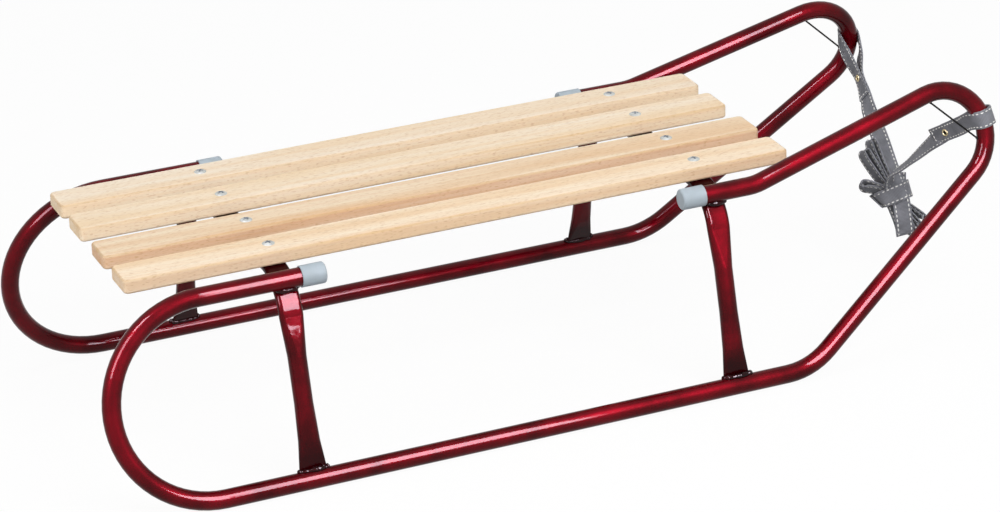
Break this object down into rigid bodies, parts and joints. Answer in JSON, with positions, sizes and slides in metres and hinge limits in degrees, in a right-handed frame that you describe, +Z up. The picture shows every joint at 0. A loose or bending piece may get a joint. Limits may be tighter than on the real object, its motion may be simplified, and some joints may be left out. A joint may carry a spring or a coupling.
{
  "type": "metal sled",
  "caption": "Child's sled of bent steel tube with leaning side frames, raised horns, wooden slats on two arches and a folded webbing pull strap.",
  "frame": {"origin": "on the floor, under the middle of the sled's length and width", "axes": "+X forward to the horns, +Y to the sled's left, +Z up"},
  "size_m": [1.0372, 0.442, 0.285],
  "materials": {
    "tube": "gloss translucent red over bright metal",
    "slat": "satin clear lacquer on pale wood",
    "cap": "satin grey",
    "keeper": "dark",
    "strap": "woven webbing with pale edge stitching"
  },
  "bodies": {
    "root": {"side_tube_left": "tube", "side_tube_right": "tube", "arch_rear": "tube", "arch_front": "tube", "slat_outer_left": "slat", "slat_inner_left": "slat", "slat_inner_right": "slat", "slat_outer_right": "slat", "cap_rear_left": "cap", "cap_rear_right": "cap", "cap_front_left": "cap", "cap_front_right": "cap", "keeper_left": "keeper", "keeper_right": "keeper", "strap_left": "strap", "strap_right": "strap", "strap_hank": "strap"}
  },
  "joints": []
}
